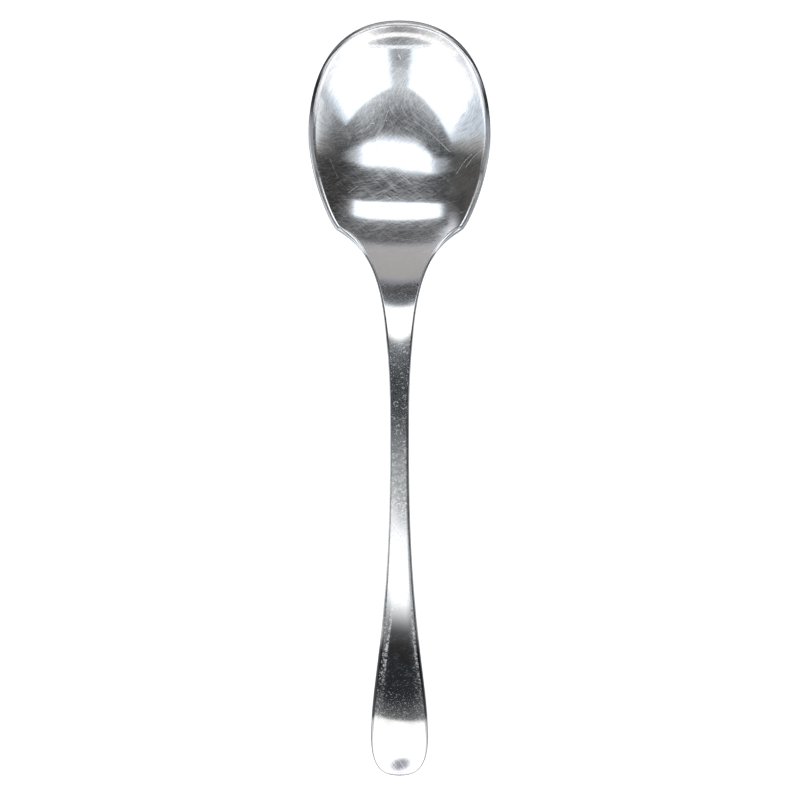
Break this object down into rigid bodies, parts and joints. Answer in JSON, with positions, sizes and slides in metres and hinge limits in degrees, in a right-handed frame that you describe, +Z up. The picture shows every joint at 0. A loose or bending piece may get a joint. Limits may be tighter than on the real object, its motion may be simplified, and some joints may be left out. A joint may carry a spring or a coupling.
{
  "type": "dessert spoon",
  "caption": "Dessert spoon pressed from a single steel blank: a broad shallow bowl with shoulders, a slim arched stem and a handle that widens to a round end.",
  "frame": {"origin": "on the table, under the middle of the spoon's length and width, with the spoon lying as it rests", "axes": "+Y along the spoon towards the bowl's tip, +Z up out of the open bowl, +X across"},
  "size_m": [0.0432, 0.18, 0.016],
  "materials": {
    "stainless_steel": "worn mirror polish"
  },
  "bodies": {
    "root": {"spoon": "stainless_steel"}
  },
  "joints": []
}
